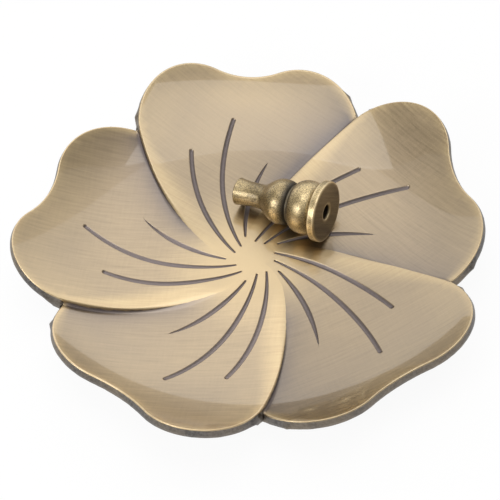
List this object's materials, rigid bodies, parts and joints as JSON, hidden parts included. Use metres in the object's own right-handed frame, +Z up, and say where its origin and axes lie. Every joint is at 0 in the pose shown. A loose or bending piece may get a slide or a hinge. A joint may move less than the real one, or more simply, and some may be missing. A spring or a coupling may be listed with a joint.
{
  "type": "incense stick holder",
  "caption": "Shallow antique-brass flower dish with overlapping notched petals that catches ash, and a loose gourd-shaped holder with a hole for an incense stick.",
  "frame": {"origin": "centre of the dish's flat base, on the surface that it rests on", "axes": "+Z up, out of the dish; +Y along the middle of the petal whose raised edge is on its -X side"},
  "size_m": [0.0979, 0.0965, 0.0163],
  "materials": {
    "dish_brass": "brushed antique, dark in the grooves and bright along the lips",
    "holder_bronze": "dark speckled antique, worn bright on the bulbs and the foot's edge"
  },
  "bodies": {
    "dish": {"flower_dish": "dish_brass"},
    "holder": {"stick_holder": "holder_bronze"}
  },
  "joints": [
    {"name": "holder_lift", "type": "slide", "parent": "dish", "child": "holder", "axis": [0, 0, 1], "range_m": [0, 0.045]}
  ]
}
